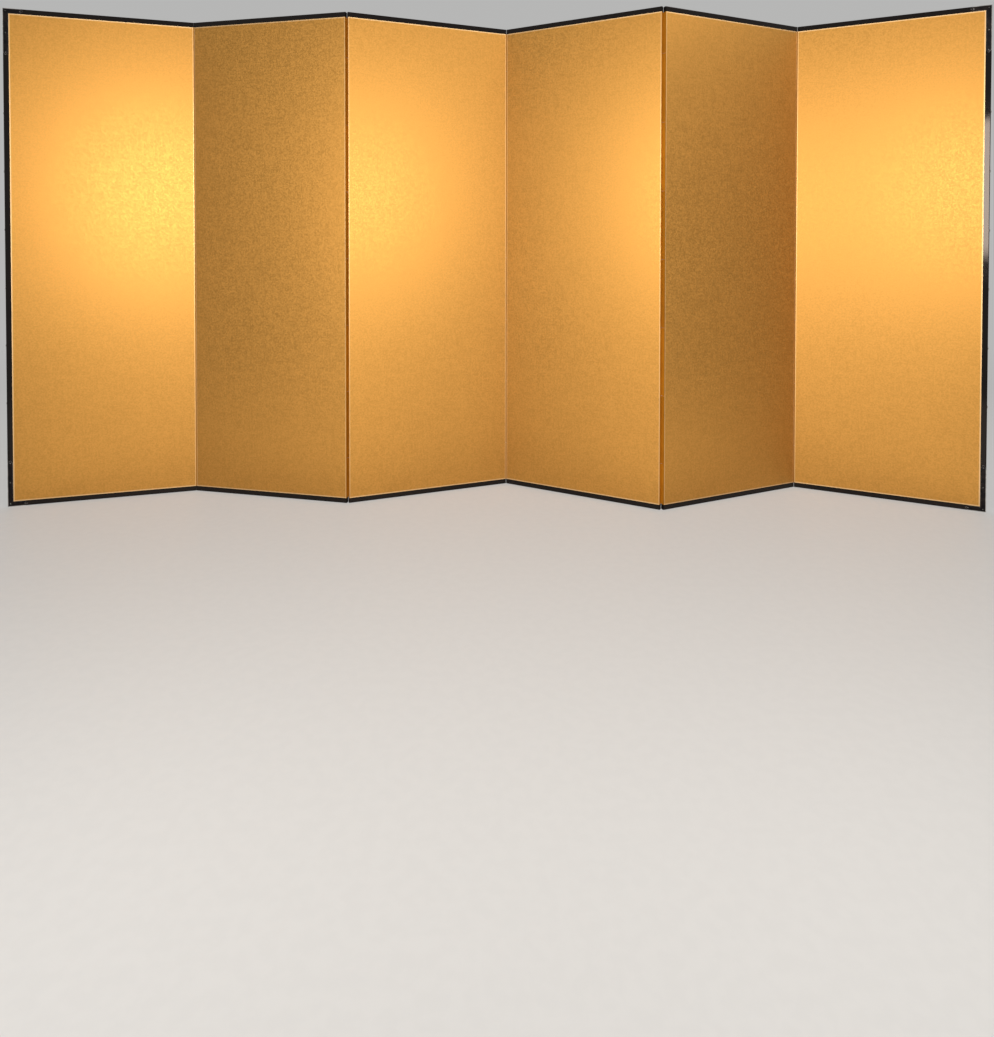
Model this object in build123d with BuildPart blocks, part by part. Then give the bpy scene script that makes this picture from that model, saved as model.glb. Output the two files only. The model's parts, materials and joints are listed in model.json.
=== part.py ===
"""A six-panel folding screen: paper-covered lattice panels, a lacquered outer frame and paper hinges.

Frame: +X runs along the open screen, +Y to its back, +Z up, with the origin on the floor under the
middle of the whole. Each panel has coordinates of its own: u along the panel from its left edge,
v from its gold face to its back, and z up.
"""

import math
import os

from build123d import *

os.makedirs("parts", exist_ok=True)

# ---------------------------------------------------------------- driving dimensions, mm and degrees

overall_height = 1750.0
panel_width = 605.0  # an inner panel, from fold edge to fold edge
end_paper_width = 602.0  # the gold face of panels 1 and 6, beside their stile

# Each panel's turn from +X as the screen stands open.
panel_headings = (16.5, -12.9, 21.5, -28.5, 24.3, -25.7)

# The layers of a panel, from the middle outwards.
core_depth = 12.6
underpaper_thickness = 0.6
facing_thickness = 0.4  # the gold paper, and the paper on the back

# The wooden lattice inside a panel.
core_bar_width = 24.0
slat_width = 12.0
upright_slats = 3
level_slats = 11
glue_gap = 0.1  # between two pieces of wood that are glued together

# The lacquered frame round the outside.
frame_face = 18.0  # its width, seen from the front
frame_proud = 0.5  # how far it stands beyond the papers, on each side
frame_edge_radius = 2.5

# The paper hinges.
hinge_strips = 8
hinge_end_length = 142.0  # the first and last strip of a fold
hinge_lap = 30.0  # how far a strip reaches under the facing papers
hinge_slit = 1.0  # between one strip and the next
fold_standoff = 0.5  # from a panel's edge, and from its frame's face, to the crease
crease_gap = 0.15  # from a strip's cut edge to the crease, on each side of it

# The corner fittings.
fitting_sheet = 0.5
fitting_upright_leg = 162.0
fitting_level_leg = 62.0
fitting_reveal = 1.0  # lacquer left bare between a fitting and the gold
fitting_scallop = 6.5  # radius of the two hollows that end a leg
fitting_play = 0.05

# The studs down the end stiles.
studs_per_stile = 6
stud_head_radius = 6.5
stud_head_height = 3.0
stud_shank_width = 2.4
stud_shank_length = 34.0

# The nails between the rails and the core.
nails_per_rail = 4
nail_width = 2.4
nail_in_rail = 11.0
nail_in_core = 17.0
nail_point = 0.7
nail_end_distance = 60.0
pin_play = 0.05  # round a nail or a shank, on each side

# ---------------------------------------------------------------- sizes that follow

panel_count = len(panel_headings)
panel_depth = core_depth + 2 * (underpaper_thickness + facing_thickness)
frame_front = -frame_proud
frame_back = panel_depth + frame_proud
frame_depth = frame_back - frame_front
paper_bottom = frame_face
paper_top = overall_height - frame_face
paper_height = paper_top - paper_bottom

front_lap_at = facing_thickness  # the layer of the under-papers and of the hinges' laps, at the front
core_front = facing_thickness + underpaper_thickness
core_back = core_front + core_depth
back_lap_at = core_back
back_paper_at = core_back + underpaper_thickness
hinge_paper = underpaper_thickness  # a hinge's lap and the under-paper are one layer

crease_front = frame_front - fold_standoff
crease_back = frame_back + fold_standoff

hinge_inner_length = (paper_height - 2 * hinge_end_length) / (hinge_strips - 2)


# ---------------------------------------------------------------- the panels' places


class Panel:
    """One panel's place on the floor, and the planes that its pieces are drawn on."""

    def __init__(self, number, heading, width, corner=(0.0, 0.0)):
        self.number = number
        self.heading = heading
        self.width = width
        self.corner = corner
        turn = math.radians(heading)
        self.along = Vector(math.cos(turn), math.sin(turn), 0)
        self.across = Vector(-math.sin(turn), math.cos(turn), 0)
        self.u_axis = Axis((0, 0, 0), self.along)
        self.folds_left = number > 1
        self.folds_right = number < panel_count
        # The core stops short of a fold edge by the thickness of the strips that cover it.
        self.core_left = hinge_paper if self.folds_left else 0.0
        self.core_right = width - (hinge_paper if self.folds_right else 0.0)

    def point(self, u, v, z=0.0):
        """The place of a point of this panel in the whole screen's frame."""
        start = Vector(self.corner[0], self.corner[1], z)
        return start + self.along * u + self.across * v

    def plan(self, z):
        """A plane at height z, seen from above: its x is u and its y is v."""
        return Plane(origin=self.point(0, 0, z), x_dir=self.along, z_dir=(0, 0, 1))

    def front(self, v):
        """A plane at depth v, seen from the front: its x is u and its y is z."""
        return Plane(origin=self.point(0, v), x_dir=self.along, z_dir=-self.across)

    def side(self, u):
        """A plane across the panel at u: its x is v and its y is z."""
        return Plane(origin=self.point(u, 0), x_dir=self.across, z_dir=self.along)


def crease_depth(fold):
    """How far back the crease between panel `fold` and the next lies: at a face of the frame."""
    closes_on_the_front = panel_headings[fold] < panel_headings[fold - 1]
    return crease_front if closes_on_the_front else crease_back


def stand_panels():
    """Stands the panels edge to edge along their creases, from the first, about the origin."""
    found = []
    for number, heading in enumerate(panel_headings, start=1):
        inner = 1 < number < panel_count
        panel = Panel(number, heading, panel_width if inner else end_paper_width)
        if found:
            before = found[-1]
            depth = crease_depth(before.number)
            crease = before.point(before.width + fold_standoff, depth)
            corner = crease + panel.along * fold_standoff - panel.across * depth
            panel.corner = (corner.X, corner.Y)
        found.append(panel)

    # The corners of the plan: the frame's, the fittings' round the stiles and the studs' tips.
    outline = []
    for panel in found:
        for v in (frame_front, frame_back):
            outline += [panel.point(0, v), panel.point(panel.width, v)]
    for panel, stile_u, out in ((found[0], 0.0, -1), (found[-1], end_paper_width, 1)):
        edge = stile_u + out * (frame_face + fitting_sheet)
        tip = stile_u + out * (frame_face + stud_head_height)
        outline += [panel.point(edge, frame_front - fitting_sheet + frame_edge_radius)]
        outline += [panel.point(edge, frame_back + fitting_sheet - frame_edge_radius)]
        outline += [panel.point(edge - out * frame_edge_radius, frame_front - fitting_sheet)]
        outline += [panel.point(tip, panel_depth / 2)]
    middle_x = (min(p.X for p in outline) + max(p.X for p in outline)) / 2
    middle_y = (min(p.Y for p in outline) + max(p.Y for p in outline)) / 2
    for panel in found:
        panel.corner = (panel.corner[0] - middle_x, panel.corner[1] - middle_y)
    return found


panels = stand_panels()


# ---------------------------------------------------------------- helpers


def rectangles(middles, width, height):
    """The same rectangle about each of a list of middles, in the sketch that is open."""
    with Locations(*middles):
        Rectangle(width, height)


def spread(low, high, count):
    """The middles of `count` pieces spread evenly between two edges."""
    return [low + (high - low) * (i + 1) / (count + 1) for i in range(count)]


def save(part, name):
    part.label = name
    export_step(part, f"parts/{name}.step")


def nail_places(panel):
    """Where along a rail its nails stand."""
    low = panel.core_left + nail_end_distance
    high = panel.core_right - nail_end_distance
    return [low + (high - low) * i / (nails_per_rail - 1) for i in range(nails_per_rail)]


def stud_heights():
    """Heights of the studs, spread between the legs of a stile's two fittings."""
    return spread(fitting_upright_leg, overall_height - fitting_upright_leg, studs_per_stile)


def stile_side(panel):
    """On an end panel, where its stile meets the paper, and which way is outwards."""
    return (panel.width, 1) if panel.folds_left else (0.0, -1)


# ---------------------------------------------------------------- the core


def core_lattice(panel):
    """The lattice: two outer uprights and two outer crossbars round a grid of half-lapped slats."""
    left, right = panel.core_left, panel.core_right
    inside_left, inside_right = left + core_bar_width, right - core_bar_width
    floor, ceiling = paper_bottom + core_bar_width, paper_top - core_bar_width
    middle_u, middle_z = (left + right) / 2, (paper_bottom + paper_top) / 2
    columns = spread(inside_left, inside_right, upright_slats)
    rows = spread(floor, ceiling, level_slats)
    crossings = [(u, z) for u in columns for z in rows]
    lap_depth = (core_depth + glue_gap) / 2
    lap_width = slat_width + 2 * glue_gap

    with BuildPart() as uprights:
        with BuildSketch(panel.front(core_back)):
            edge_bars = [left + core_bar_width / 2, right - core_bar_width / 2]
            rectangles([(u, middle_z) for u in edge_bars], core_bar_width, paper_height)
            length = ceiling - floor - 2 * glue_gap
            rectangles([(u, middle_z) for u in columns], slat_width, length)
        extrude(amount=core_depth)
        with BuildSketch(panel.front(core_back)):
            rectangles(crossings, slat_width, lap_width)
        extrude(amount=lap_depth, mode=Mode.SUBTRACT)
        if not (panel.folds_left and panel.folds_right):
            edge, out = stile_side(panel)
            hole = stud_shank_width + 2 * pin_play
            with BuildSketch(panel.side(edge)):
                rectangles([(panel_depth / 2, z) for z in stud_heights()], hole, hole)
            reach = stud_shank_length - frame_face + pin_play
            extrude(amount=-out * reach, mode=Mode.SUBTRACT)

    with BuildPart() as crossbars:
        length = inside_right - inside_left - 2 * glue_gap
        with BuildSketch(panel.front(core_back)):
            edge_bars = [paper_bottom + core_bar_width / 2, paper_top - core_bar_width / 2]
            rectangles([(middle_u, z) for z in edge_bars], length, core_bar_width)
            rectangles([(middle_u, z) for z in rows], length, slat_width)
        extrude(amount=core_depth)
        with BuildSketch(panel.front(core_front + lap_depth)):
            rectangles(crossings, lap_width, slat_width)
        extrude(amount=lap_depth, mode=Mode.SUBTRACT)
        hole = nail_width + 2 * pin_play
        for z, inwards in ((paper_bottom, 1), (paper_top, -1)):
            with BuildSketch(panel.plan(z)):
                rectangles([(u, panel_depth / 2) for u in nail_places(panel)], hole, hole)
            extrude(amount=inwards * (nail_in_core + pin_play), mode=Mode.SUBTRACT)

    pieces = [*uprights.part.solids(), *crossbars.part.solids()]
    save(Compound(children=pieces), f"core_lattice_{panel.number}")


# ---------------------------------------------------------------- the papers


def paper_sheet(panel, left, right, depth, thickness):
    """A sheet the height of a panel's face, between two values of u, at a depth from its front."""
    with BuildSketch(panel.front(depth + thickness)) as sheet:
        middle = ((left + right) / 2, (paper_bottom + paper_top) / 2)
        rectangles([middle], right - left, paper_height)
    extrude(sheet.sketch, amount=thickness)


def papers(panel):
    """The under-papers, the gold paper and the back paper of a panel."""
    inner_left = hinge_lap if panel.folds_left else 0.0
    inner_right = panel.width - (hinge_lap if panel.folds_right else 0.0)

    with BuildPart() as underpapers:
        paper_sheet(panel, inner_left, inner_right, front_lap_at, underpaper_thickness)
        paper_sheet(panel, inner_left, inner_right, back_lap_at, underpaper_thickness)
    save(underpapers.part, f"underpapers_{panel.number}")

    with BuildPart() as gold_paper:
        paper_sheet(panel, 0, panel.width, 0, facing_thickness)
    save(gold_paper.part, f"gold_paper_{panel.number}")

    with BuildPart() as back_paper:
        paper_sheet(panel, 0, panel.width, back_paper_at, facing_thickness)
    save(back_paper.part, f"back_paper_{panel.number}")


# ---------------------------------------------------------------- the frame


def rail(panel, name, low, high, inner, upwards):
    """A lacquered rail along a panel's top or bottom, its two outer edges rounded.

    Its inner face, at height `inner`, has a square socket for each nail.
    """
    with BuildPart() as piece:
        with BuildSketch(panel.side(0)):
            rectangles([(panel_depth / 2, (low + high) / 2)], frame_depth, high - low)
            outer_corners = vertices().group_by(Axis.Y)[-1 if upwards > 0 else 0]
            fillet(outer_corners, frame_edge_radius)
        extrude(amount=panel.width)
        hole = nail_width + 2 * pin_play
        with BuildSketch(panel.plan(inner)):
            rectangles([(u, panel_depth / 2) for u in nail_places(panel)], hole, hole)
        extrude(amount=upwards * (nail_in_rail + pin_play), mode=Mode.SUBTRACT)
    save(piece.part, f"{name}_{panel.number}")


def frame_nails(panel):
    """The double-pointed nails that stand half in a rail and half in the core."""
    with BuildPart() as nails:
        for foot in (paper_bottom - nail_in_rail, paper_top - nail_in_core):
            with BuildSketch(panel.plan(foot)):
                places = [(u, panel_depth / 2) for u in nail_places(panel)]
                rectangles(places, nail_width, nail_width)
            extrude(amount=nail_in_rail + nail_in_core)
        level = edges().filter_by(lambda edge: abs(edge.tangent_at(0).Z) < 0.5)
        chamfer(level, nail_point)
    save(nails.part, f"frame_nails_{panel.number}")


def end_stile(panel, name):
    """The upright of the frame on an outer edge, with a square hole for each stud's shank."""
    edge, out = stile_side(panel)
    with BuildPart() as stile:
        with BuildSketch(panel.plan(0)):
            rectangles([(edge + out * frame_face / 2, panel_depth / 2)], frame_face, frame_depth)
            fillet(vertices().group_by(Axis.X)[-1 if out > 0 else 0], frame_edge_radius)
        extrude(amount=overall_height)
        level = edges().filter_by(panel.u_axis).group_by(Axis.Z)
        fillet(level[0] + level[-1], frame_edge_radius)
        hole = stud_shank_width + 2 * pin_play
        with BuildSketch(panel.side(edge)):
            rectangles([(panel_depth / 2, z) for z in stud_heights()], hole, hole)
        extrude(amount=out * frame_face, mode=Mode.SUBTRACT)
    save(stile.part, name)


def studs(panel, name):
    """Round-headed studs: a low dome on a square shank that runs through the stile into the core."""
    edge, out = stile_side(panel)
    seat = edge + out * frame_face
    dome_radius = (stud_head_radius**2 + stud_head_height**2) / (2 * stud_head_height)
    with BuildPart() as row:
        with BuildSketch(panel.side(seat)):
            middles = [(panel_depth / 2, z) for z in stud_heights()]
            rectangles(middles, stud_shank_width, stud_shank_width)
        extrude(amount=-out * stud_shank_length)
        for z in stud_heights():
            head = Plane(
                origin=panel.point(seat, panel_depth / 2, z),
                x_dir=(0, 0, 1),
                z_dir=panel.across * out,
            )
            with BuildSketch(head):
                with BuildLine():
                    Line((0, stud_head_height), (0, 0))
                    Line((0, 0), (stud_head_radius, 0))
                    RadiusArc((0, stud_head_height), (stud_head_radius, 0), dome_radius)
                make_face()
            revolve(axis=Axis(head.origin, head.y_dir))
    save(row.part, name)


# ---------------------------------------------------------------- the corner fittings


def corner_block(panel, grow, at_top):
    """An outer corner of the frame as a block, `grow` larger, with the frame's rounded edges."""
    edge, out = stile_side(panel)
    outer = edge + out * (frame_face + grow)
    inner = edge - out * fitting_level_leg
    low = overall_height - fitting_upright_leg - frame_face if at_top else -grow
    high = overall_height + grow if at_top else fitting_upright_leg + frame_face
    with BuildPart() as block:
        with BuildSketch(panel.front(frame_back + grow)):
            middle = ((outer + inner) / 2, (low + high) / 2)
            rectangles([middle], abs(outer - inner), high - low)
        extrude(amount=frame_depth + 2 * grow)
        level = edges().filter_by(panel.u_axis).group_by(Axis.Z)[-1 if at_top else 0]
        upright = edges().filter_by(Axis.Z).group_by(panel.u_axis)[-1 if out > 0 else 0]
        fillet(level + upright, frame_edge_radius + grow)
    return block.part


def corner_fitting(panel, name, at_top):
    """A sheet-metal cap round an outer corner. Each leg ends in a nib between two hollows.

    At the floor its edge is level with the frame's, so that the screen stands on its rails.
    """
    edge, out = stile_side(panel)
    outer = edge + out * (frame_face + fitting_sheet)
    height = overall_height + fitting_sheet if at_top else 0.0
    side = edge + out * fitting_reveal
    level = paper_top + fitting_reveal if at_top else paper_bottom - fitting_reveal
    level_end = outer - out * (fitting_level_leg + fitting_sheet)
    upright_end = height + (-1 if at_top else 1) * (fitting_upright_leg + fitting_sheet)
    outside = corner_block(panel, fitting_sheet, at_top)
    inside = corner_block(panel, fitting_play, at_top)
    with BuildPart() as cap:
        add(outside)
        add(inside, mode=Mode.SUBTRACT)
        with BuildSketch(panel.front(frame_back + fitting_sheet)):
            with BuildLine():
                Polyline(
                    (outer, height),
                    (level_end, height),
                    (level_end, level),
                    (side, level),
                    (side, upright_end),
                    (outer, upright_end),
                    close=True,
                )
            make_face()
            leg_corners = [(level_end, height), (level_end, level)]
            leg_corners += [(side, upright_end), (outer, upright_end)]
            with Locations(*leg_corners):
                Circle(fitting_scallop, mode=Mode.SUBTRACT)
        extrude(amount=frame_depth + 2 * fitting_sheet, mode=Mode.INTERSECT)
    save(cap.part, name)


# ---------------------------------------------------------------- the paper hinges


def strip_heights():
    """Each strip of a fold as its middle height and its length, from the floor up."""
    strips, z = [], paper_bottom
    for i in range(hinge_strips):
        at_end = i in (0, hinge_strips - 1)
        length = hinge_end_length if at_end else hinge_inner_length
        strips.append((z + length / 2, length - hinge_slit))
        z += length
    return strips


def hinge(panel, name, at_right):
    """One panel's part of a fold's strips, and the papers that cover the panel's edge between them.

    A strip starts under the facing paper on one panel, passes through the joint and ends under the
    opposite facing paper of the next. Every other strip covers this panel's edge and laps its far
    face. The rest come from the crease and only lap its near face, so an edge paper of their own
    height covers the edge behind each of them. Every strip has a tongue that stands in the joint, up
    to the crease.
    """
    fold = panel.number if at_right else panel.number - 1
    crease = crease_depth(fold)
    crease_at_front = crease == crease_front
    near = front_lap_at if crease_at_front else back_lap_at
    far = back_lap_at if crease_at_front else front_lap_at
    tongue_root = core_front if crease_at_front else core_back
    tongue_tip = crease + (crease_gap if crease_at_front else -crease_gap)
    edge = panel.width if at_right else 0.0
    inward = -1 if at_right else 1
    lap_length = hinge_lap - glue_gap
    lap_middle = edge + inward * lap_length / 2
    web_thickness = hinge_paper - glue_gap / 2
    web_depth = back_paper_at - front_lap_at
    edge_paper_depth = web_depth - hinge_paper - glue_gap
    edge_paper_shift = (hinge_paper + glue_gap) / 2 * (1 if crease_at_front else -1)
    edge_paper_middle = (front_lap_at + back_paper_at) / 2 + edge_paper_shift
    strips = strip_heights()
    round_the_edge = strips[0 if at_right else 1 :: 2]
    from_the_crease = strips[1 if at_right else 0 :: 2]
    with BuildPart() as piece:
        for layer, group in ((far, strips), (near, from_the_crease)):
            with BuildSketch(panel.front(layer + hinge_paper)):
                for z, length in group:
                    rectangles([(lap_middle, z)], lap_length, length)
            extrude(amount=hinge_paper)
        with BuildSketch(panel.side(edge)):
            for z, length in round_the_edge:
                rectangles([(panel_depth / 2, z)], web_depth, length)
            for z, length in from_the_crease:
                rectangles([(edge_paper_middle, z)], edge_paper_depth, length)
        extrude(amount=inward * web_thickness)
        with BuildSketch(panel.side(edge)):
            for z, length in strips:
                middle = ((tongue_root + tongue_tip) / 2, z)
                rectangles([middle], abs(tongue_tip - tongue_root), length)
        extrude(amount=-inward * (fold_standoff - crease_gap))
    save(piece.part, name)


# ---------------------------------------------------------------- the whole screen

for panel in panels:
    core_lattice(panel)
    papers(panel)
    rail(panel, "top_rail", paper_top, overall_height, paper_top, 1)
    rail(panel, "bottom_rail", 0, paper_bottom, paper_bottom, -1)
    frame_nails(panel)

for panel, side_name in ((panels[0], "left"), (panels[-1], "right")):
    end_stile(panel, f"end_stile_{side_name}")
    studs(panel, f"studs_{side_name}")
    corner_fitting(panel, f"corner_fitting_top_{side_name}", at_top=True)
    corner_fitting(panel, f"corner_fitting_bottom_{side_name}", at_top=False)

for panel in panels:
    if panel.folds_right:
        hinge(panel, f"hinge_{panel.number}_left_part", at_right=True)
    if panel.folds_left:
        hinge(panel, f"hinge_{panel.number - 1}_right_part", at_right=False)

for panel in panels:
    print(f"panel {panel.number} corner {panel.corner[0]:.4f} {panel.corner[1]:.4f}")
    if panel.folds_right:
        crease = panel.point(panel.width + fold_standoff, crease_depth(panel.number))
        print(f"fold {panel.number} crease {crease.X:.4f} {crease.Y:.4f}")
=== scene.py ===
"""A six-panel folding screen with plain gold faces, dressed for display around its fixed CAD frame.

Each piece or group of like pieces has an operator, and the sidebar panel lists them in order. Panel
coordinates run from the middle of a panel's foot: x along the panel, y from its gold face to its back,
z up.
"""

import json
import math

import bmesh
import bpy
from bpy.props import FloatProperty, FloatVectorProperty, PointerProperty
from mathutils import Euler, Matrix, Vector


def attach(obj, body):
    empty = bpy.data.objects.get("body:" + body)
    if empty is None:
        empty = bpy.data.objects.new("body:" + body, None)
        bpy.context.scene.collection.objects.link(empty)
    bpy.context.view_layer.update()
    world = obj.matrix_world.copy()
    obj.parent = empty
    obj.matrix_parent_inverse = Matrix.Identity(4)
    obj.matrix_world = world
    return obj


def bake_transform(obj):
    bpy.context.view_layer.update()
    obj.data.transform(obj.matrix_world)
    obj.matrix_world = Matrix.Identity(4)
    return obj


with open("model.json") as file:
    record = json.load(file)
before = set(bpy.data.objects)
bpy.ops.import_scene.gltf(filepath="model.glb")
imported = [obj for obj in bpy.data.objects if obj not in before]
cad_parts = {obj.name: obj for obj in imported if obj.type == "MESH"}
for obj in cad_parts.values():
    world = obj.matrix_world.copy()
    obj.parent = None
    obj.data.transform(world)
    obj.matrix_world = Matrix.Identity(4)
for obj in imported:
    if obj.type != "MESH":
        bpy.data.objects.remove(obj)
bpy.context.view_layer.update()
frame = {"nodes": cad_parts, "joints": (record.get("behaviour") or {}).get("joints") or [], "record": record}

bl_info = {
    "name": "Gold folding screen",
    "version": (1, 0, 0),
    "blender": (4, 5, 0),
    "location": "3D View > Sidebar > Screen",
    "description": "Dresses a folding screen: gold paper, lacquered frame, fittings and paper hinges",
    "category": "Object",
}

# ---------------------------------------------------------------- the screen's own sizes, in metres

PANEL_COUNT = 6
PANEL_HEADINGS = (16.5, -12.9, 21.5, -28.5, 24.3, -25.7)  # degrees from +X, as the screen stands
INNER_PANEL_WIDTH = 0.605
END_PAPER_WIDTH = 0.602
SCREEN_HEIGHT = 1.750
PANEL_DEPTH = 0.0146
FRAME_FACE = 0.018
FRAME_PROUD = 0.0005
RAIL_ROUNDING = 0.0025
RAIL_END = 0.00035  # how far a rail's end face stands past its gold paper
FITTING_SHEET = 0.0005
FITTING_UPRIGHT_LEG = 0.162
FITTING_LEVEL_LEG = 0.062
PIN_INSET = 0.0085  # from the end of a fitting's leg to its last pin
PIN_HEIGHTS = (0.030, 0.085)  # of the lower pins on a fitting's upright leg, from the screen's corner
CREASE_GAP = 0.00015  # from a hinge strip's cut edge to the crease
CREASE_PAPER = 0.00008  # the bent paper's thickness
HINGE_SLIT = 0.001
HINGE_STRIPS = 8
HINGE_END_LENGTH = 0.142


class PanelPlace:
    """Where one panel stands, and which of its edges fold."""

    def __init__(self, number):
        foot = next(m for m in frame["record"]["mounts"] if m["name"] == f"foot_{number}")
        self.number = number
        self.middle = Vector((foot["pos_m"][0], foot["pos_m"][1], 0.0))
        self.heading = math.radians(PANEL_HEADINGS[number - 1])
        self.folds_left = number > 1
        self.folds_right = number < PANEL_COUNT
        inner = self.folds_left and self.folds_right
        self.paper_width = INNER_PANEL_WIDTH if inner else END_PAPER_WIDTH
        self.matrix = Matrix.Translation(self.middle) @ Matrix.Rotation(self.heading, 4, "Z")
        # Which way is outwards along the panel, for a panel with a stile.
        self.stile_side = 0 if inner else (-1 if number == 1 else 1)

    @property
    def body(self):
        return f"panel_{self.number}"


PANELS = [PanelPlace(number) for number in range(1, PANEL_COUNT + 1)]
END_PANELS = {"left": PANELS[0], "right": PANELS[-1]}


# ---------------------------------------------------------------- settings a user would change


class GoldPaperSettings(bpy.types.PropertyGroup):
    leaf_color: FloatVectorProperty(
        name="Leaf colour", description="Colour of the gold where it faces the light",
        subtype="COLOR", default=(0.645, 0.327, 0.0765))
    hollow_color: FloatVectorProperty(
        name="Hollow colour", description="Colour in the hollows of the paper's grain",
        subtype="COLOR", default=(0.518, 0.254, 0.0545))
    grain: FloatProperty(
        name="Grain", description="Size of the paper's grain", unit="LENGTH",
        default=0.0047, min=0.0005, max=0.02)
    thread: FloatProperty(
        name="Thread", description="Spacing of the faint level and upright threads", unit="LENGTH",
        default=0.0045, min=0.0005, max=0.02)
    roughness: FloatProperty(
        name="Roughness", description="How far the gold's sheen is spread",
        subtype="FACTOR", default=0.50, min=0.0, max=1.0)
    metallic: FloatProperty(
        name="Leaf", description="How much of the face is metal leaf rather than paper",
        subtype="FACTOR", default=1.0, min=0.0, max=1.0)


class FrameSettings(bpy.types.PropertyGroup):
    lacquer_color: FloatVectorProperty(
        name="Lacquer colour", description="Colour of the frame's lacquer",
        subtype="COLOR", default=(0.0042, 0.0036, 0.0036))
    edge_color: FloatVectorProperty(
        name="Edge colour", description="Colour where the lacquer wears thin on its edges",
        subtype="COLOR", default=(0.030, 0.012, 0.008))
    roughness: FloatProperty(
        name="Roughness", description="Roughness of the polished lacquer",
        subtype="FACTOR", default=0.06, min=0.0, max=1.0)


class MetalSettings(bpy.types.PropertyGroup):
    field_color: FloatVectorProperty(
        name="Field colour", description="Colour of the blackened metal",
        subtype="COLOR", default=(0.013, 0.012, 0.013))
    edge_color: FloatVectorProperty(
        name="Edge colour", description="Colour where handling has polished the metal",
        subtype="COLOR", default=(0.70, 0.66, 0.62))
    pin_radius: FloatProperty(
        name="Pin radius", description="Radius of the pins that hold a corner fitting",
        unit="LENGTH", default=0.0016, min=0.0005, max=0.004)


class PaperSettings(bpy.types.PropertyGroup):
    hinge_color: FloatVectorProperty(
        name="Hinge colour", description="Colour of the paper hinges",
        subtype="COLOR", default=(0.58, 0.245, 0.013))
    back_color: FloatVectorProperty(
        name="Back colour", description="Colour of the paper on the back",
        subtype="COLOR", default=(0.050, 0.085, 0.070))
    print_color: FloatVectorProperty(
        name="Print colour", description="Colour of the small repeat printed on the back",
        subtype="COLOR", default=(0.125, 0.155, 0.115))
    repeat: FloatProperty(
        name="Repeat", description="Spacing of the repeat on the back", unit="LENGTH",
        default=0.046, min=0.01, max=0.2)


class StageSettings(bpy.types.PropertyGroup):
    floor_color: FloatVectorProperty(
        name="Floor colour", description="Colour of the floor", subtype="COLOR",
        default=(0.33, 0.325, 0.316))
    floor_glow: FloatProperty(
        name="Floor glow", description="How much of the backdrop's own brightness the floor has",
        default=0.66, min=0.0, max=1.0)
    backdrop_color: FloatVectorProperty(
        name="Backdrop colour", description="Colour seen behind the screen", subtype="COLOR",
        default=(0.47, 0.47, 0.465))
    fill: FloatProperty(
        name="Fill", description="Strength of the light from all round", default=0.20, min=0.0)
    left_power: FloatProperty(
        name="Left lamp", description="Power of the lamp on the left",
        unit="POWER", default=31.5, min=0.0)
    right_power: FloatProperty(
        name="Right lamp", description="Power of the lamp on the right",
        unit="POWER", default=26.5, min=0.0)
    high_power: FloatProperty(
        name="High lamp", description="Power of the high lamp on the right",
        unit="POWER", default=20.0, min=0.0)
    foot_power: FloatProperty(
        name="Floor lamp", description="Power of the lamp that lies on the floor before the screen",
        unit="POWER", default=6.5, min=0.0)
    back_power: FloatProperty(
        name="Back lamps", description="Power of each of the two lamps behind the screen",
        unit="POWER", default=26.0, min=0.0)
    floor_radius: FloatProperty(
        name="Floor radius", description="How far the floor reaches",
        unit="LENGTH", default=24.0, min=5.0)


# ---------------------------------------------------------------- helpers for materials


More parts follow.
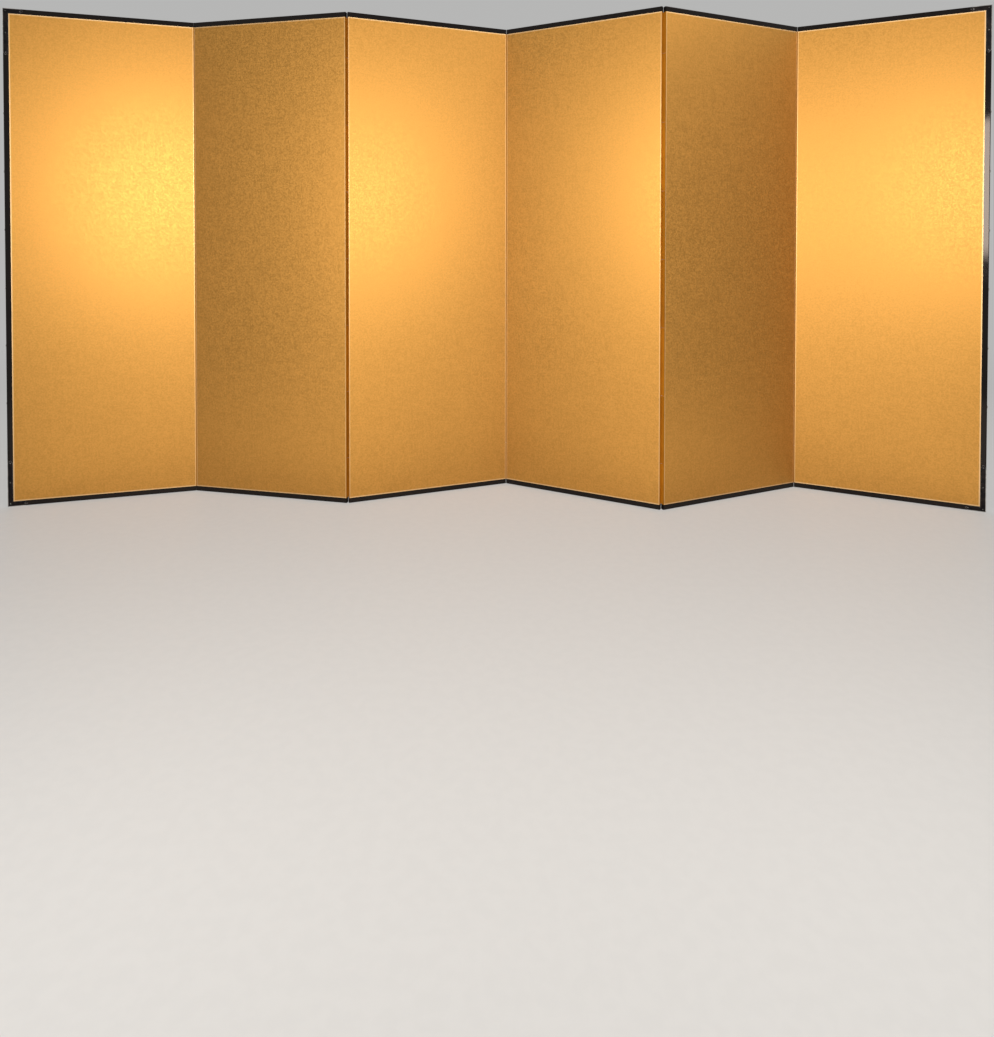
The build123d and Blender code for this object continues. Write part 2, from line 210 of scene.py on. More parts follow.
class Finish:
    """One material's node tree, with its shader and output in place."""

    def __init__(self, name):
        self.material = bpy.data.materials.new(name)
        self.material.use_nodes = True
        self.tree = self.material.node_tree
        self.tree.nodes.clear()
        self.output = self.tree.nodes.new("ShaderNodeOutputMaterial")
        self.shader = self.tree.nodes.new("ShaderNodeBsdfPrincipled")
        self.link(self.shader.outputs["BSDF"], self.output.inputs["Surface"])

    def link(self, source, target):
        self.tree.links.new(source, target)

    def feed(self, socket, value):
        """Sets a socket to a plain value, or links another node's output to it."""
        if isinstance(value, bpy.types.NodeSocket):
            self.link(value, socket)
        else:
            socket.default_value = value

    def node(self, kind, inputs=None, **settings):
        """Adds a node, with its inputs fed and its settings made."""
        made = self.tree.nodes.new(kind)
        for key, value in settings.items():
            setattr(made, key, value)
        for key, value in (inputs or {}).items():
            self.feed(made.inputs[key], value)
        return made

    def math(self, operation, a, b=0.0, c=0.0, clamp=False):
        made = self.node("ShaderNodeMath", operation=operation, use_clamp=clamp)
        for socket, value in zip(made.inputs, (a, b, c)):
            self.feed(socket, value)
        return made.outputs[0]

    def mix(self, factor, a, b):
        """A mix of two colours."""
        made = self.node("ShaderNodeMix", data_type="RGBA")
        for key, value in (("Factor", factor), ("A", a), ("B", b)):
            self.feed(next(s for s in made.inputs if s.name == key and s.enabled), value)
        return next(s for s in made.outputs if s.enabled)

    def ramp(self, factor, low, high, to_low=0.0, to_high=1.0):
        """A value between two limits, spread between two others and held at both."""
        limits = {0: factor, 1: low, 2: high, 3: to_low, 4: to_high}
        return self.node("ShaderNodeMapRange", inputs=limits).outputs[0]

    def noise(self, vector, scale, detail=2.0, roughness=0.5, distortion=0.0):
        made = self.node("ShaderNodeTexNoise", inputs={
            "Vector": vector, "Scale": scale, "Detail": detail, "Roughness": roughness,
            "Distortion": distortion})
        return made.outputs[0]

    def panel_point(self, panel):
        """Object coordinates brought to a panel's own."""
        coordinates = self.node("ShaderNodeTexCoord")
        mapping = self.node("ShaderNodeMapping", vector_type="TEXTURE", inputs={
            "Vector": coordinates.outputs["Object"],
            "Location": panel.middle, "Rotation": Euler((0.0, 0.0, panel.heading))})
        return mapping.outputs[0]

    def turned_edge(self, panel, low=0.20, high=0.55):
        """1 where a surface turns over an edge of its panel, and 0 where it faces squarely."""
        normal = self.node("ShaderNodeTexCoord").outputs["Normal"]
        turned = self.node("ShaderNodeMapping", vector_type="VECTOR", inputs={
            "Vector": normal, "Rotation": Euler((0.0, 0.0, -panel.heading))}).outputs[0]
        x, y, z = (self.math("ABSOLUTE", part) for part in self.parts(turned))
        two = self.math("MAXIMUM", self.math("MINIMUM", x, y), self.math("MINIMUM", y, z))
        return self.ramp(self.math("MAXIMUM", two, self.math("MINIMUM", x, z)), low, high)

    def stretched(self, vector, scale):
        """A vector with each of its parts scaled."""
        made = self.node("ShaderNodeVectorMath", operation="MULTIPLY", inputs={0: vector, 1: scale})
        return made.outputs[0]

    def parts(self, vector):
        made = self.node("ShaderNodeSeparateXYZ", inputs={0: vector})
        return made.outputs[0], made.outputs[1], made.outputs[2]

    def bump(self, height, distance, strength=1.0):
        made = self.node("ShaderNodeBump", inputs={
            "Height": height, "Distance": distance, "Strength": strength})
        self.link(made.outputs[0], self.shader.inputs["Normal"])

    def set(self, **values):
        """Sets the shader's own sockets, given by name with _ for a space."""
        for key, value in values.items():
            self.feed(self.shader.inputs[key.replace("_", " ")], value)


def rgba(color):
    return (*color, 1.0)


def dress(name, material):
    """Gives a CAD node its material."""
    slots = frame["nodes"][name].data.materials
    slots.clear()
    slots.append(material)


def edge_mask(finish, radius, low, high):
    """1 on edges that turn sharply within a radius, and 0 on flats."""
    rounded = finish.node("ShaderNodeBevel", samples=6, inputs={"Radius": radius})
    geometry = finish.node("ShaderNodeNewGeometry")
    same = finish.node("ShaderNodeVectorMath", operation="DOT_PRODUCT",
                       inputs={0: rounded.outputs[0], 1: geometry.outputs["Normal"]})
    return finish.ramp(same.outputs["Value"], high, low)


# ---------------------------------------------------------------- the gold paper

# Painted highlight: a pale line along the gold's edges, as if light caught the turned-under paper.
EDGE_HIGHLIGHT_COLOR = (1.0, 0.72, 0.40, 1.0)
# Painted shade: a dark brown line at the gold's very edge beside a fold, where the crease lies in shade.
CREASE_SHADE_COLOR = (0.30, 0.115, 0.008, 1.0)
EDGE_HIGHLIGHT_BAND = (0.0042, 0.0026)  # from a face's edge, where the painted highlight line starts and where it is full
HIGHLIGHT_BY_FRAME, HIGHLIGHT_BY_FOLD = 0.62, 0.42
CREASE_SHADE_BAND = (0.0015, 0.0008)
CREASE_SHADE_BY_FOLD = 0.80
THREAD_STRETCH = 0.08
GRAIN_SHARE, THREAD_SHARE, FINE_SHARE = 0.56, 0.26, 0.18  # of the paper's relief


def gold_paper(panel, settings):
    """Gold leaf on fine-grained paper: a soft metallic sheen, faint threads and a lively speckle."""
    gold = Finish(f"gold paper {panel.number}")
    point = gold.panel_point(panel)
    along, _, up = gold.parts(point)

    grain = gold.noise(point, 1.0 / settings.grain, detail=2.0, roughness=0.5)
    fine = gold.noise(point, 3.2 / settings.grain, detail=3.0, roughness=0.6)
    level, upright = (
        gold.noise(gold.stretched(point, way), 1.0 / settings.thread, detail=3.0, roughness=0.6)
        for way in ((THREAD_STRETCH, 1.0, 1.0), (1.0, 1.0, THREAD_STRETCH)))
    clouds = gold.noise(point, 2.6, detail=2.0)

    threads = gold.math("MULTIPLY", gold.math("ADD", level, upright), 0.5)
    relief = gold.math("ADD", gold.math("MULTIPLY", grain, GRAIN_SHARE),
                       gold.math("MULTIPLY", threads, THREAD_SHARE))
    relief = gold.math("MULTIPLY_ADD", fine, FINE_SHARE, relief)
    tone = gold.ramp(relief, 0.40, 0.61)
    tone = gold.math("ADD", gold.ramp(clouds, 0.3, 0.7, -0.05, 0.05), tone, clamp=True)
    color = gold.mix(tone, rgba(settings.hollow_color), rgba(settings.leaf_color))

    # Painted highlight: the paper is made paler where it turns under beside the frame, and less so beside a
    # fold, as if its turned edge caught the light. Beside a fold its very edge is darkened as painted crease
    # shade.
    from_frame = gold.math("SUBTRACT", SCREEN_HEIGHT / 2 - FRAME_FACE,
                           gold.math("ABSOLUTE", gold.math("SUBTRACT", up, SCREEN_HEIGHT / 2)))
    if panel.stile_side:
        from_fold = gold.math("MULTIPLY_ADD", along, panel.stile_side, panel.paper_width / 2)
        from_stile = gold.math("SUBTRACT", panel.paper_width, from_fold)
        from_frame = gold.math("MINIMUM", from_frame, from_stile)
    else:
        from_fold = gold.math("SUBTRACT", panel.paper_width / 2, gold.math("ABSOLUTE", along))
    # Painted highlight along the edges beside the frame and the folds.
    edge_highlight = gold.math("MAXIMUM", gold.ramp(from_frame, *EDGE_HIGHLIGHT_BAND, 0.0, HIGHLIGHT_BY_FRAME),
                     gold.ramp(from_fold, *EDGE_HIGHLIGHT_BAND, 0.0, HIGHLIGHT_BY_FOLD))
    color = gold.mix(edge_highlight, color, EDGE_HIGHLIGHT_COLOR)
    # Painted shade in the crease, on the last millimetre or so of the gold beside a fold.
    crease_shade = gold.ramp(from_fold, *CREASE_SHADE_BAND, 0.0, CREASE_SHADE_BY_FOLD)
    color = gold.mix(crease_shade, color, CREASE_SHADE_COLOR)

    roughness = gold.math("MULTIPLY_ADD", tone, 0.15, settings.roughness - 0.075)
    gold.set(Base_Color=color, Metallic=settings.metallic, Roughness=roughness, Specular_IOR_Level=0.35)
    gold.bump(gold.math("MULTIPLY_ADD", fine, 0.6, relief), 0.0002, 0.6)
    return gold.material


class SCREEN_OT_gold_faces(bpy.types.Operator):
    """Gives each gold face its leaf, with the grain and threads of the paper under it"""

    bl_idname = "screen.gold_faces"
    bl_label = "Gold faces"

    def execute(self, context):
        for panel in PANELS:
            dress(f"gold_paper_{panel.number}", gold_paper(panel, context.scene.screen_gold))
        return {"FINISHED"}


# ---------------------------------------------------------------- the backs

DYE_SHADE = (0.032, 0.060, 0.052, 1.0)
DYE_FIBRE = (0.09, 0.13, 0.105, 1.0)


def back_paper(panel, settings):
    """Dark dyed paper, printed all over with a small four-petalled flower in staggered rows."""
    paper = Finish(f"back paper {panel.number}")
    point = paper.panel_point(panel)
    along, _, up = paper.parts(point)
    column = paper.math("DIVIDE", along, settings.repeat)
    row = paper.math("DIVIDE", up, settings.repeat * 0.5)
    odd = paper.math("FLOORED_MODULO", paper.math("FLOOR", row), 2.0)
    column = paper.math("MULTIPLY_ADD", odd, 0.5, column)
    cell_x = paper.math("SUBTRACT", paper.math("FRACT", column), 0.5)
    cell_y = paper.math("MULTIPLY", paper.math("SUBTRACT", paper.math("FRACT", row), 0.5), 0.5)
    reach = paper.math("SQRT", paper.math("ADD", paper.math("MULTIPLY", cell_x, cell_x),
                                          paper.math("MULTIPLY", cell_y, cell_y)))
    turn = paper.math("ARCTAN2", cell_y, cell_x)
    petals = paper.math("COSINE", paper.math("MULTIPLY", turn, 4.0))
    rim = paper.math("MULTIPLY_ADD", petals, 0.055, 0.135)
    petal = paper.ramp(paper.math("SUBTRACT", rim, reach), 0.0, 0.012)
    heart = paper.ramp(reach, 0.030, 0.042)
    across = paper.math("ABSOLUTE", paper.math("SINE", paper.math("MULTIPLY", turn, 2.0)))
    vein = paper.ramp(across, 0.06, 0.20)
    worn = paper.ramp(paper.noise(point, 160.0, detail=3.0), 0.30, 0.62, 0.35, 1.0)
    motif = paper.math("MULTIPLY", paper.math("MULTIPLY", petal, heart),
                       paper.math("MULTIPLY", vein, worn))

    fibres = paper.noise(paper.stretched(point, (1.0, 1.0, 0.25)), 420.0, detail=4.0, roughness=0.6)
    dye = paper.mix(paper.ramp(paper.noise(point, 5.0, detail=3.0), 0.35, 0.65, 0.0, 0.35),
                    rgba(settings.back_color), DYE_SHADE)
    dye = paper.mix(paper.ramp(fibres, 0.55, 0.75, 0.0, 0.35), dye, DYE_FIBRE)
    color = paper.mix(motif, dye, rgba(settings.print_color))
    paper.set(Base_Color=color, Roughness=paper.ramp(motif, 0.0, 1.0, 0.86, 0.66),
              Specular_IOR_Level=0.3)
    paper.bump(paper.math("MULTIPLY_ADD", motif, 0.3, fibres), 0.0003, 0.35)
    return paper.material


class SCREEN_OT_backs(bpy.types.Operator):
    """Gives each back its dyed and printed paper"""

    bl_idname = "screen.backs"
    bl_label = "Backs"

    def execute(self, context):
        for panel in PANELS:
            dress(f"back_paper_{panel.number}", back_paper(panel, context.scene.screen_paper))
        return {"FINISHED"}


# ---------------------------------------------------------------- the lacquered frame

LACQUER_SHEEN = (1.0, 0.84, 0.74, 1.0)
DUST = (0.06, 0.057, 0.054, 1.0)


def lacquer(panel, settings, name):
    """Polished black lacquer with a faint swell, fine dust, and edges worn a little brown."""
    black = Finish(name)
    point = black.panel_point(panel)
    swell = black.noise(black.stretched(point, (0.35, 1.0, 0.35)), 60.0, detail=1.0)
    dust = black.noise(point, 900.0, detail=2.0)
    specks = black.ramp(dust, 0.70, 0.80)
    worn = black.math("MULTIPLY", black.turned_edge(panel),
                      black.ramp(black.noise(point, 35.0, detail=4.0, roughness=0.65), 0.42, 0.62))
    color = black.mix(black.math("MULTIPLY", worn, 0.8),
                      rgba(settings.lacquer_color), rgba(settings.edge_color))
    color = black.mix(black.math("MULTIPLY", specks, 0.15), color, DUST)
    haze = black.ramp(black.noise(point, 9.0, detail=3.0), 0.40, 0.65, 0.0, 0.05)
    roughness = black.math("MULTIPLY_ADD", worn, 0.25, black.math("ADD", haze, settings.roughness))
    roughness = black.math("MULTIPLY_ADD", specks, 0.2, roughness)
    black.set(Base_Color=color, Roughness=roughness, Specular_IOR_Level=0.28,
              Specular_Tint=LACQUER_SHEEN)
    black.bump(swell, 0.0006, 0.06)
    return black.material


class SCREEN_OT_frame(bpy.types.Operator):
    """Lacquers the rails and the two end stiles"""

    bl_idname = "screen.frame"
    bl_label = "Lacquered frame"

    def execute(self, context):
        settings = context.scene.screen_frame
        for panel in PANELS:
            finish = lacquer(panel, settings, f"lacquer {panel.number}")
            dress(f"top_rail_{panel.number}", finish)
            dress(f"bottom_rail_{panel.number}", finish)
            for side, end_panel in END_PANELS.items():
                if end_panel is panel:
                    dress(f"end_stile_{side}", finish)
        return {"FINISHED"}


# ---------------------------------------------------------------- the rails' ends at the folds

END_GRAIN = (0.0036, 0.0030, 0.0030, 1.0)
END_GRAIN_PORES = (0.0090, 0.0068, 0.0062, 1.0)


def end_grain():
    """Dull black on the end grain of the rails, which the polish doesn't reach."""
    grain = Finish("rail end grain")
    pores = grain.noise(grain.node("ShaderNodeTexCoord").outputs["Object"], 1400.0, detail=3.0)
    color = grain.mix(grain.ramp(pores, 0.35, 0.65), END_GRAIN, END_GRAIN_PORES)
    grain.set(Base_Color=color, Roughness=grain.ramp(pores, 0.3, 0.7, 0.62, 0.78),
              Specular_IOR_Level=0.12)
    return grain.material


def rail_ends(panel):
    """The rails' thin end faces wherever the panel folds, as near the crease as a hinge strip.

    Each is a hair shallower than its rail.
    """
    ends = bmesh.new()
    for side in [way for way, folds in ((-1, panel.folds_left), (1, panel.folds_right)) if folds]:
        for up in (-1, 1):
            middle = Vector((side * (panel.paper_width + RAIL_END) / 2, 0.0,
                             SCREEN_HEIGHT / 2 + up * (SCREEN_HEIGHT - FRAME_FACE) / 2))
            block = bmesh.ops.create_cube(ends, size=1.0)["verts"]
            bmesh.ops.scale(ends, verts=block, vec=(RAIL_END, PANEL_DEPTH + FRAME_PROUD, FRAME_FACE))
            bmesh.ops.translate(ends, verts=block, vec=middle)
            outer = [edge for edge in ends.edges
                     if all(v in block and (v.co.z - middle.z) * up > 0 for v in edge.verts)
                     and abs(edge.verts[0].co.x - edge.verts[1].co.x) > RAIL_END / 2]
            bmesh.ops.bevel(ends, geom=outer, affect="EDGES", offset=RAIL_ROUNDING,
                            segments=6, profile=0.5, material=-1)
    bmesh.ops.transform(ends, verts=ends.verts, matrix=panel.matrix)
    return ends


class SCREEN_OT_rail_ends(bpy.types.Operator):
    """Closes the ends of the rails at the folds"""

    bl_idname = "screen.rail_ends"
    bl_label = "Rail ends"

    def execute(self, context):
        finish = end_grain()
        for panel in PANELS:
            piece = finished_piece(f"rail_ends_{panel.number}", rail_ends(panel), finish)
            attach(piece, panel.body)
        return {"FINISHED"}


# ---------------------------------------------------------------- metalwork

METAL_MOTTLE = (0.028, 0.022, 0.020, 1.0)
POLISHED_WITHIN = 0.0009  # how far from an edge handling has polished the metal


def dark_metal(panel, settings, name):
    """Copper blackened in smoke and polished along its edges by handling."""
    metal = Finish(name)
    coordinates = metal.node("ShaderNodeTexCoord").outputs["Object"]
    mottle = metal.noise(coordinates, 55.0, detail=4.0, roughness=0.6)
    scratches = metal.noise(metal.stretched(coordinates, (1.0, 1.0, 9.0)), 260.0, detail=2.0)
    edge = metal.math("MAXIMUM", edge_mask(metal, POLISHED_WITHIN, 0.80, 0.985),
                      metal.turned_edge(panel, 0.10, 0.42))
    edge = metal.math("MULTIPLY", edge, metal.ramp(mottle, 0.25, 0.55, 0.55, 1.0))
    field = metal.mix(metal.ramp(mottle, 0.4, 0.7), rgba(settings.field_color), METAL_MOTTLE)
    field = metal.mix(metal.ramp(scratches, 0.66, 0.78, 0.0, 0.10), field, rgba(settings.edge_color))
    color = metal.mix(edge, field, rgba(settings.edge_color))
    roughness = metal.math("MULTIPLY_ADD", edge, -0.14, metal.ramp(mottle, 0.3, 0.7, 0.30, 0.46))
    metal.set(Base_Color=color, Metallic=1.0, Roughness=roughness)
    metal.bump(mottle, 0.0002, 0.3)
    return metal.material


FLAT_HEAD, DOMED_HEAD = 0.22, 0.60  # a pin head's height, as a share of its radius


def fitting_pins(panel, settings):
    """Pins through both faces and the outer side of a stile's two fittings.

    Their heads are nearly flat on the faces, where the next panel closes, and domed outside.
    """
    out = panel.stile_side
    stile_outer = panel.paper_width / 2 + FRAME_FACE
    stile_middle = out * (stile_outer - FRAME_FACE / 2)
    face = PANEL_DEPTH / 2 + FRAME_PROUD + FITTING_SHEET
    seats = []
    for up in (-1, 1):
        def height(from_edge):
            return SCREEN_HEIGHT / 2 + up * (SCREEN_HEIGHT / 2 - from_edge)
        leg_end = out * (stile_outer - FITTING_LEVEL_LEG + PIN_INSET)
        low, middle = PIN_HEIGHTS
        high = FITTING_UPRIGHT_LEG - PIN_INSET
        for front in (-1, 1):
            spots = [(stile_middle, height(FRAME_FACE / 2)), (leg_end, height(FRAME_FACE / 2)),
                     (stile_middle, height(middle)), (stile_middle, height(high))]
            seats += [(Vector((x, front * face, z)), Vector((0, front, 0))) for x, z in spots]
        for z in (height(low), height(middle), height(high)):
            seats.append((Vector((out * (stile_outer + FITTING_SHEET), 0, z)), Vector((out, 0, 0))))

    pins = bmesh.new()
    for seat, outwards in seats:
        made = bmesh.ops.create_uvsphere(pins, u_segments=14, v_segments=8, radius=settings.pin_radius)
        ball = made["verts"]
        bmesh.ops.scale(pins, verts=ball, vec=(1.0, 1.0, FLAT_HEAD if outwards.y else DOMED_HEAD))
        facing = outwards.to_track_quat("Z", "Y").to_matrix()
        bmesh.ops.rotate(pins, verts=ball, cent=(0, 0, 0), matrix=facing)
        bmesh.ops.translate(pins, verts=ball, vec=seat)
    bmesh.ops.transform(pins, verts=pins.verts, matrix=panel.matrix)
    return pins


def finished_piece(name, mesh, material, smooth=False):
    """Turns a bmesh into an object that stands in the scene."""
    data = bpy.data.meshes.new(name)
    mesh.to_mesh(data)
    mesh.free()
    data.materials.append(material)
    if smooth:
        data.shade_smooth()
    piece = bpy.data.objects.new(name, data)
    bpy.context.scene.collection.objects.link(piece)
    return piece


class SCREEN_OT_metalwork(bpy.types.Operator):
    """Finishes the corner fittings and studs, and pins the fittings to the frame"""

    bl_idname = "screen.metalwork"
    bl_label = "Metalwork"

    def execute(self, context):
        settings = context.scene.screen_metal
        for side, panel in END_PANELS.items():
            fitting_metal = dark_metal(panel, settings, f"fitting metal {side}")
            stud_metal = dark_metal(panel, settings, f"stud metal {side}")
            for end in ("top", "bottom"):
                dress(f"corner_fitting_{end}_{side}", fitting_metal)
            dress(f"studs_{side}", stud_metal)
            pins = finished_piece(f"fitting_pins_{side}", fitting_pins(panel, settings), stud_metal,
                                  smooth=True)
            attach(pins, panel.body)
        return {"FINISHED"}


# ---------------------------------------------------------------- the paper hinges

HINGE_STAIN = (0.45, 0.175, 0.009, 1.0)
HINGE_DARK_SHEET = (0.39, 0.150, 0.008, 1.0)
HINGE_FIBRE = (0.70, 0.35, 0.050, 1.0)


def hinge_paper(settings):
    """Strong brown-gold paper with long fibres, its strips cut from sheets of different tone."""
    paper = Finish("hinge paper")
    point = paper.node("ShaderNodeTexCoord").outputs["Object"]
    _, _, up = paper.parts(point)
    above_end = paper.math("SUBTRACT", up, FRAME_FACE + HINGE_END_LENGTH)
    strip = paper.math("FLOOR", paper.math("DIVIDE", above_end, inner_strip_length()))
    sheet = paper.node("ShaderNodeTexWhiteNoise", noise_dimensions="1D", inputs={"W": strip})
    sheet_tone = paper.ramp(sheet.outputs["Value"], 0.0, 1.0, 0.0, 0.55)
    fibres = paper.noise(paper.stretched(point, (1.0, 1.0, 0.18)), 520.0, detail=4.0, roughness=0.65)
    stain = paper.noise(point, 14.0, detail=3.0)
    color = paper.mix(paper.ramp(stain, 0.35, 0.65, 0.0, 0.5), rgba(settings.hinge_color), HINGE_STAIN)
    color = paper.mix(sheet_tone, color, HINGE_DARK_SHEET)
    color = paper.mix(paper.ramp(fibres, 0.55, 0.75, 0.0, 0.4), color, HINGE_FIBRE)
    paper.set(Base_Color=color, Roughness=paper.ramp(fibres, 0.3, 0.7, 0.62, 0.78), Metallic=0.15,
              Specular_IOR_Level=0.12)
    paper.bump(fibres, 0.0003, 0.4)
    return paper.material


def inner_strip_length():
    return (SCREEN_HEIGHT - 2 * FRAME_FACE - 2 * HINGE_END_LENGTH) / (HINGE_STRIPS - 2)


def strip_spans():
    """The lowest and highest point of each hinge strip, from the floor up."""
    spans, z = [], FRAME_FACE
    for i in range(HINGE_STRIPS):
        length = HINGE_END_LENGTH if i in (0, HINGE_STRIPS - 1) else inner_strip_length()
        spans.append((z + HINGE_SLIT / 2, z + length - HINGE_SLIT / 2))
        z += length
    return spans


def crease_papers(joint, left, right):
    """The bent paper of one fold: each strip's narrow web round the crease, from panel to panel."""
    crease = Vector((joint["pos_m"][0], joint["pos_m"][1], 0.0))
    behind = 1 if right.heading < left.heading else -1
    left_tip = crease + left.matrix.to_3x3() @ Vector((-CREASE_GAP, behind * CREASE_GAP, 0))
    right_tip = crease + right.matrix.to_3x3() @ Vector((CREASE_GAP, behind * CREASE_GAP, 0))
    web = bmesh.new()
    for low, high in strip_spans():
        line = [web.verts.new(Vector((p.x, p.y, low))) for p in (left_tip, crease, right_tip)]
        run = [web.edges.new(pair) for pair in zip(line, line[1:])]
        made = bmesh.ops.extrude_edge_only(web, edges=run)["geom"]
        raised = [g for g in made if isinstance(g, bmesh.types.BMVert)]
        bmesh.ops.translate(web, verts=raised, vec=(0, 0, high - low))
    bmesh.ops.recalc_face_normals(web, faces=web.faces)
    bmesh.ops.solidify(web, geom=web.faces[:] + web.edges[:] + web.verts[:], thickness=CREASE_PAPER)
    bmesh.ops.recalc_face_normals(web, faces=web.faces)
    return web, left_tip, right_tip


class SCREEN_OT_hinges(bpy.types.Operator):
    """Papers the hinges, and carries each strip round its crease from panel to panel"""

    bl_idname = "screen.hinges"
    bl_label = "Paper hinges"

    def execute(self, context):
        paper = hinge_paper(context.scene.screen_paper)
        for number, (left, right) in enumerate(zip(PANELS, PANELS[1:]), start=1):
            dress(f"hinge_{number}_left_part", paper)
            dress(f"hinge_{number}_right_part", paper)
            joint = next(j for j in frame["joints"] if j["name"] == f"fold_{number}")
            web, left_tip, right_tip = crease_papers(joint, left, right)
            piece = finished_piece(f"hinge_{number}_crease", web, paper)
            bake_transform(piece)
        return {"FINISHED"}


# ---------------------------------------------------------------- inside the panels

CEDAR_PALE, CEDAR_DARK = (0.62, 0.40, 0.23, 1.0), (0.42, 0.235, 0.12, 1.0)
PULP_PALE, PULP_DARK = (0.72, 0.66, 0.54, 1.0), (0.56, 0.49, 0.37, 1.0)
IRON_SCALE, IRON_WORN = (0.07, 0.065, 0.06, 1.0), (0.16, 0.12, 0.095, 1.0)


def cedar():
    """Planed cedar with straight grain."""
    wood = Finish("cedar")
    point = wood.node("ShaderNodeTexCoord").outputs["Object"]
    grain = wood.noise(wood.stretched(point, (1.0, 1.0, 0.06)), 150.0, detail=5.0, roughness=0.6)
    color = wood.mix(wood.ramp(grain, 0.35, 0.65), CEDAR_PALE, CEDAR_DARK)
    wood.set(Base_Color=color, Roughness=wood.ramp(grain, 0.3, 0.7, 0.55, 0.70))
    wood.bump(grain, 0.0003, 0.3)
    return wood.material


def under_paper():
    """Undyed handmade paper with scattered fibres."""
    paper = Finish("under paper")
    point = paper.node("ShaderNodeTexCoord").outputs["Object"]
    fibres = paper.noise(point, 300.0, detail=5.0, roughness=0.65, distortion=1.5)
    color = paper.mix(paper.ramp(fibres, 0.4, 0.7), PULP_PALE, PULP_DARK)
    paper.set(Base_Color=color, Roughness=paper.ramp(fibres, 0.3, 0.7, 0.80, 0.92))
    paper.bump(fibres, 0.0003, 0.3)
    return paper.material


def forged_iron():
    """Forged iron with its black scale."""
    iron = Finish("forged iron")
    point = iron.node("ShaderNodeTexCoord").outputs["Object"]
    scale = iron.noise(point, 700.0, detail=3.0)
    color = iron.mix(iron.ramp(scale, 0.4, 0.65), IRON_SCALE, IRON_WORN)
    iron.set(Base_Color=color, Metallic=0.9, Roughness=iron.ramp(scale, 0.3, 0.7, 0.45, 0.65))
    iron.bump(scale, 0.0002, 0.5)
    return iron.material


class SCREEN_OT_inside(bpy.types.Operator):
    """Finishes what the papers hide: the lattice, the under-papers and the nails"""

    bl_idname = "screen.inside"
    bl_label = "Inside the panels"

    def execute(self, context):
        wood, paper, iron = cedar(), under_paper(), forged_iron()
        for panel in PANELS:
            dress(f"core_lattice_{panel.number}", wood)
            dress(f"underpapers_{panel.number}", paper)
            dress(f"frame_nails_{panel.number}", iron)
        return {"FINISHED"}


# ---------------------------------------------------------------- the stage

CAMERA_PLACE = (0.014, -2.744, 0.934)
CAMERA_TILT = math.radians(1.04)  # downwards
CAMERA_ROLL = math.radians(-0.05)
CAMERA_LENS = 26.04
CAMERA_SENSOR = 36.0
CAMERA_SHIFT = -0.2531
LAMP_COLOR = (1.0, 0.965, 0.92)
FILL_COLOR = (1.0, 0.985, 0.96, 1.0)
LAMP_AIM = (0.0, 0.0, 0.95)
LOW_LAMP_SIZE = (0.55, 0.80)
LEFT_LAMP_PLACE = (-0.92, -2.30, 1.26)
RIGHT_LAMP_PLACE = (0.92, -2.30, 1.26)
HIGH_LAMP_SIZE = (1.20, 1.20)
HIGH_LAMP_PLACE = (2.60, -1.40, 3.25)
HIGH_LAMP_AIM = (0.80, 0.0, 1.50)
FOOT_LAMP_SIZE = (3.40, 1.90)
FOOT_LAMP_PLACE = (0.0, -1.20, 0.012)
FOOT_LAMP_AIM = (0.0, -1.20, 1.0)
BACK_LAMP_SIZE = (1.00, 1.00)
BACK_LAMP_PLACES = ((-1.30, 2.60, 1.65), (1.30, 2.60, 1.65))
FLOOR_SEGMENTS = 96
FLOOR_TOOTH = (0.6, 0.59, 0.57, 1.0)
FADE_START, FADE_END = 2.1, 5.6  # where the floor runs into the backdrop


def seen_directly(tree):
    """1 for rays that see a surface as the backdrop: from the camera, off gloss or through glass."""
    rays = tree.nodes.new("ShaderNodeLightPath")
    seen = rays.outputs["Is Camera Ray"]
    for kind in ("Is Glossy Ray", "Is Transmission Ray"):
        either = tree.nodes.new("ShaderNodeMath")
        either.operation = "MAXIMUM"
        tree.links.new(seen, either.inputs[0])
        tree.links.new(rays.outputs[kind], either.inputs[1])
        seen = either.outputs[0]
    return seen


def floor_finish(settings):
    """Matte pale floor that glows where it is seen, and runs into the backdrop far away."""
    finish = Finish("studio floor")
    point = finish.node("ShaderNodeTexCoord").outputs["Object"]
    away = finish.node("ShaderNodeVectorMath", operation="LENGTH", inputs={0: point}).outputs["Value"]
    far = finish.ramp(away, FADE_START, FADE_END)
    tooth = finish.noise(point, 40.0, detail=3.0)
    color = finish.mix(finish.ramp(tooth, 0.4, 0.6, 0.0, 0.04), rgba(settings.floor_color), FLOOR_TOOTH)
    finish.set(Base_Color=color, Roughness=0.55, Specular_IOR_Level=0.25)
    glow_strength = finish.math("MULTIPLY", seen_directly(finish.tree), settings.floor_glow)
    glow = finish.node("ShaderNodeEmission", inputs={
        "Color": rgba(settings.backdrop_color), "Strength": glow_strength})
    near = finish.node("ShaderNodeAddShader", inputs={
        0: finish.shader.outputs["BSDF"], 1: glow.outputs[0]})
    backdrop = finish.node("ShaderNodeEmission", inputs={"Color": rgba(settings.backdrop_color)})
    join = finish.node("ShaderNodeMixShader", inputs={
        0: far, 1: near.outputs[0], 2: backdrop.outputs[0]})
    finish.link(join.outputs[0], finish.output.inputs["Surface"])
    return finish.material


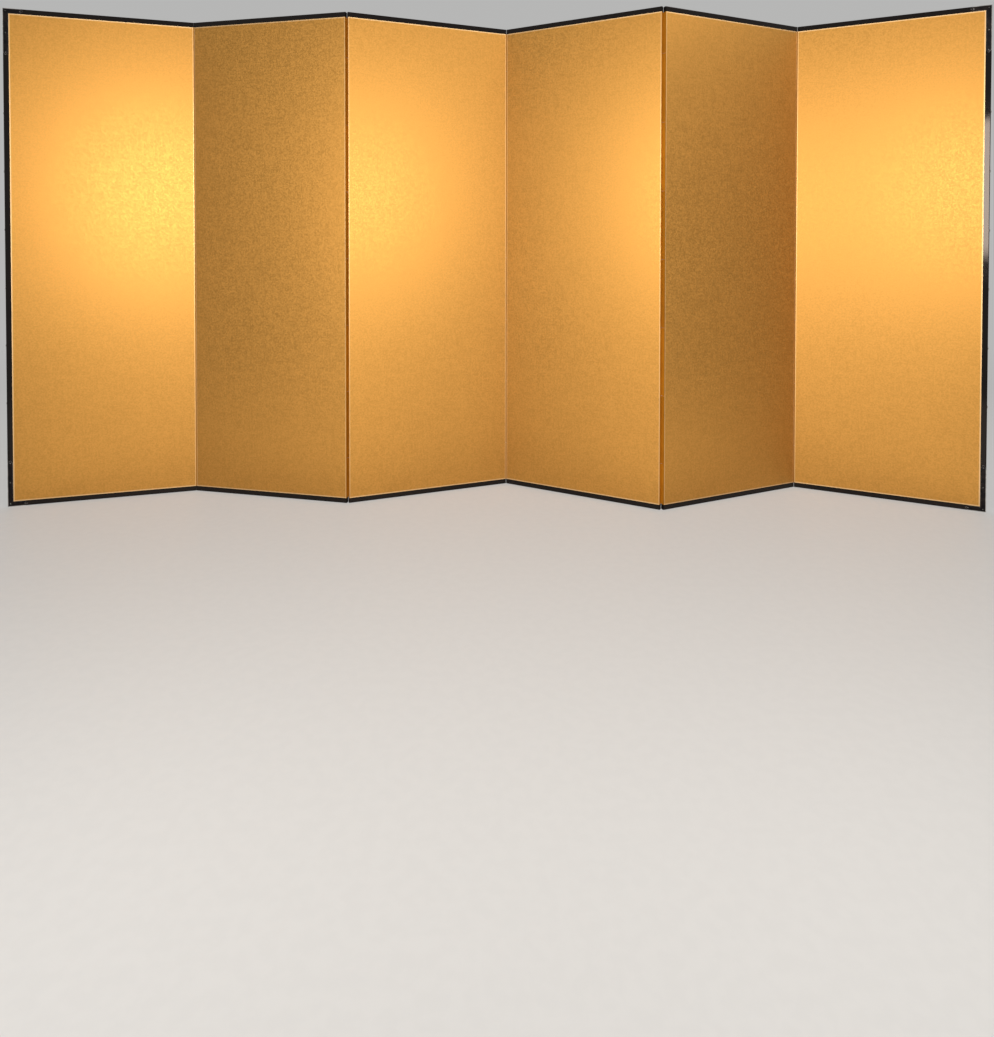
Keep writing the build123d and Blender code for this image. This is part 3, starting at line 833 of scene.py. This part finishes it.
def light_the_room(settings):
    """A grey sky for plain soft fill, which the camera and glossy surfaces see as the backdrop."""
    world = bpy.data.worlds.new("studio")
    world.use_nodes = True
    tree = world.node_tree
    tree.nodes.clear()
    fill = tree.nodes.new("ShaderNodeBackground")
    fill.inputs["Color"].default_value = FILL_COLOR
    fill.inputs["Strength"].default_value = settings.fill
    backdrop = tree.nodes.new("ShaderNodeBackground")
    backdrop.inputs["Color"].default_value = rgba(settings.backdrop_color)
    choose = tree.nodes.new("ShaderNodeMixShader")
    out = tree.nodes.new("ShaderNodeOutputWorld")
    tree.links.new(seen_directly(tree), choose.inputs[0])
    tree.links.new(fill.outputs[0], choose.inputs[1])
    tree.links.new(backdrop.outputs[0], choose.inputs[2])
    tree.links.new(choose.outputs[0], out.inputs["Surface"])
    bpy.context.scene.world = world


def softbox(name, place, power, size=LOW_LAMP_SIZE, aim=LAMP_AIM):
    data = bpy.data.lights.new(name, "AREA")
    data.shape = "RECTANGLE"
    data.size, data.size_y = size
    data.energy = power
    data.color = LAMP_COLOR
    lamp = bpy.data.objects.new(name, data)
    lamp.location = place
    lamp.rotation_euler = (Vector(aim) - Vector(place)).to_track_quat("-Z", "Y").to_euler()
    lamp.visible_camera = False
    bpy.context.scene.collection.objects.link(lamp)


class SCREEN_OT_stage(bpy.types.Operator):
    """Sets up the floor, the light and the camera"""

    bl_idname = "screen.stage"
    bl_label = "Stage"

    def execute(self, context):
        settings = context.scene.screen_stage
        disc = bmesh.new()
        bmesh.ops.create_circle(disc, cap_ends=True, segments=FLOOR_SEGMENTS,
                                radius=settings.floor_radius)
        floor = finished_piece("studio_floor", disc, floor_finish(settings))
        light_the_room(settings)
        softbox("left softbox", LEFT_LAMP_PLACE, settings.left_power)
        softbox("right softbox", RIGHT_LAMP_PLACE, settings.right_power)
        softbox("high softbox", HIGH_LAMP_PLACE, settings.high_power, HIGH_LAMP_SIZE, HIGH_LAMP_AIM)
        softbox("foot softbox", FOOT_LAMP_PLACE, settings.foot_power, FOOT_LAMP_SIZE, FOOT_LAMP_AIM)
        for number, place in enumerate(BACK_LAMP_PLACES, start=1):
            softbox(f"back softbox {number}", place, settings.back_power, BACK_LAMP_SIZE)

        data = bpy.data.cameras.new("camera")
        data.lens = CAMERA_LENS
        data.sensor_width = CAMERA_SENSOR
        data.shift_y = CAMERA_SHIFT
        data.clip_start, data.clip_end = 0.05, 100.0
        camera = bpy.data.objects.new("camera", data)
        camera.location = CAMERA_PLACE
        camera.rotation_euler = (math.pi / 2 - CAMERA_TILT, CAMERA_ROLL, 0.0)
        context.scene.collection.objects.link(camera)
        context.scene.camera = camera
        context.scene.view_settings.view_transform = "Standard"
        return {"FINISHED"}


# ---------------------------------------------------------------- the sidebar, and the whole screen

SETTINGS = (
    ("screen_gold", GoldPaperSettings),
    ("screen_frame", FrameSettings),
    ("screen_metal", MetalSettings),
    ("screen_paper", PaperSettings),
    ("screen_stage", StageSettings),
)

STEPS = (
    SCREEN_OT_stage,
    SCREEN_OT_gold_faces,
    SCREEN_OT_backs,
    SCREEN_OT_frame,
    SCREEN_OT_rail_ends,
    SCREEN_OT_metalwork,
    SCREEN_OT_hinges,
    SCREEN_OT_inside,
)


class SCREEN_PT_sidebar(bpy.types.Panel):
    """Lists the screen's settings and the steps that dress it"""

    bl_idname = "SCREEN_PT_sidebar"
    bl_label = "Folding screen"
    bl_space_type = "VIEW_3D"
    bl_region_type = "UI"
    bl_category = "Screen"

    def draw(self, context):
        for step in STEPS:
            self.layout.operator(step.bl_idname)
        for name, group in SETTINGS:
            box = self.layout.box()
            for key in group.__annotations__:
                box.prop(getattr(context.scene, name), key)


def register():
    for name, group in SETTINGS:
        bpy.utils.register_class(group)
        setattr(bpy.types.Scene, name, PointerProperty(type=group))
    for step in STEPS:
        bpy.utils.register_class(step)
    bpy.utils.register_class(SCREEN_PT_sidebar)


def unregister():
    bpy.utils.unregister_class(SCREEN_PT_sidebar)
    for step in reversed(STEPS):
        bpy.utils.unregister_class(step)
    for name, group in reversed(SETTINGS):
        delattr(bpy.types.Scene, name)
        bpy.utils.unregister_class(group)


def main():
    register()
    for step in STEPS:
        area, action = step.bl_idname.split(".")
        getattr(getattr(bpy.ops, area), action)()


if __name__ == "__main__":
    main()
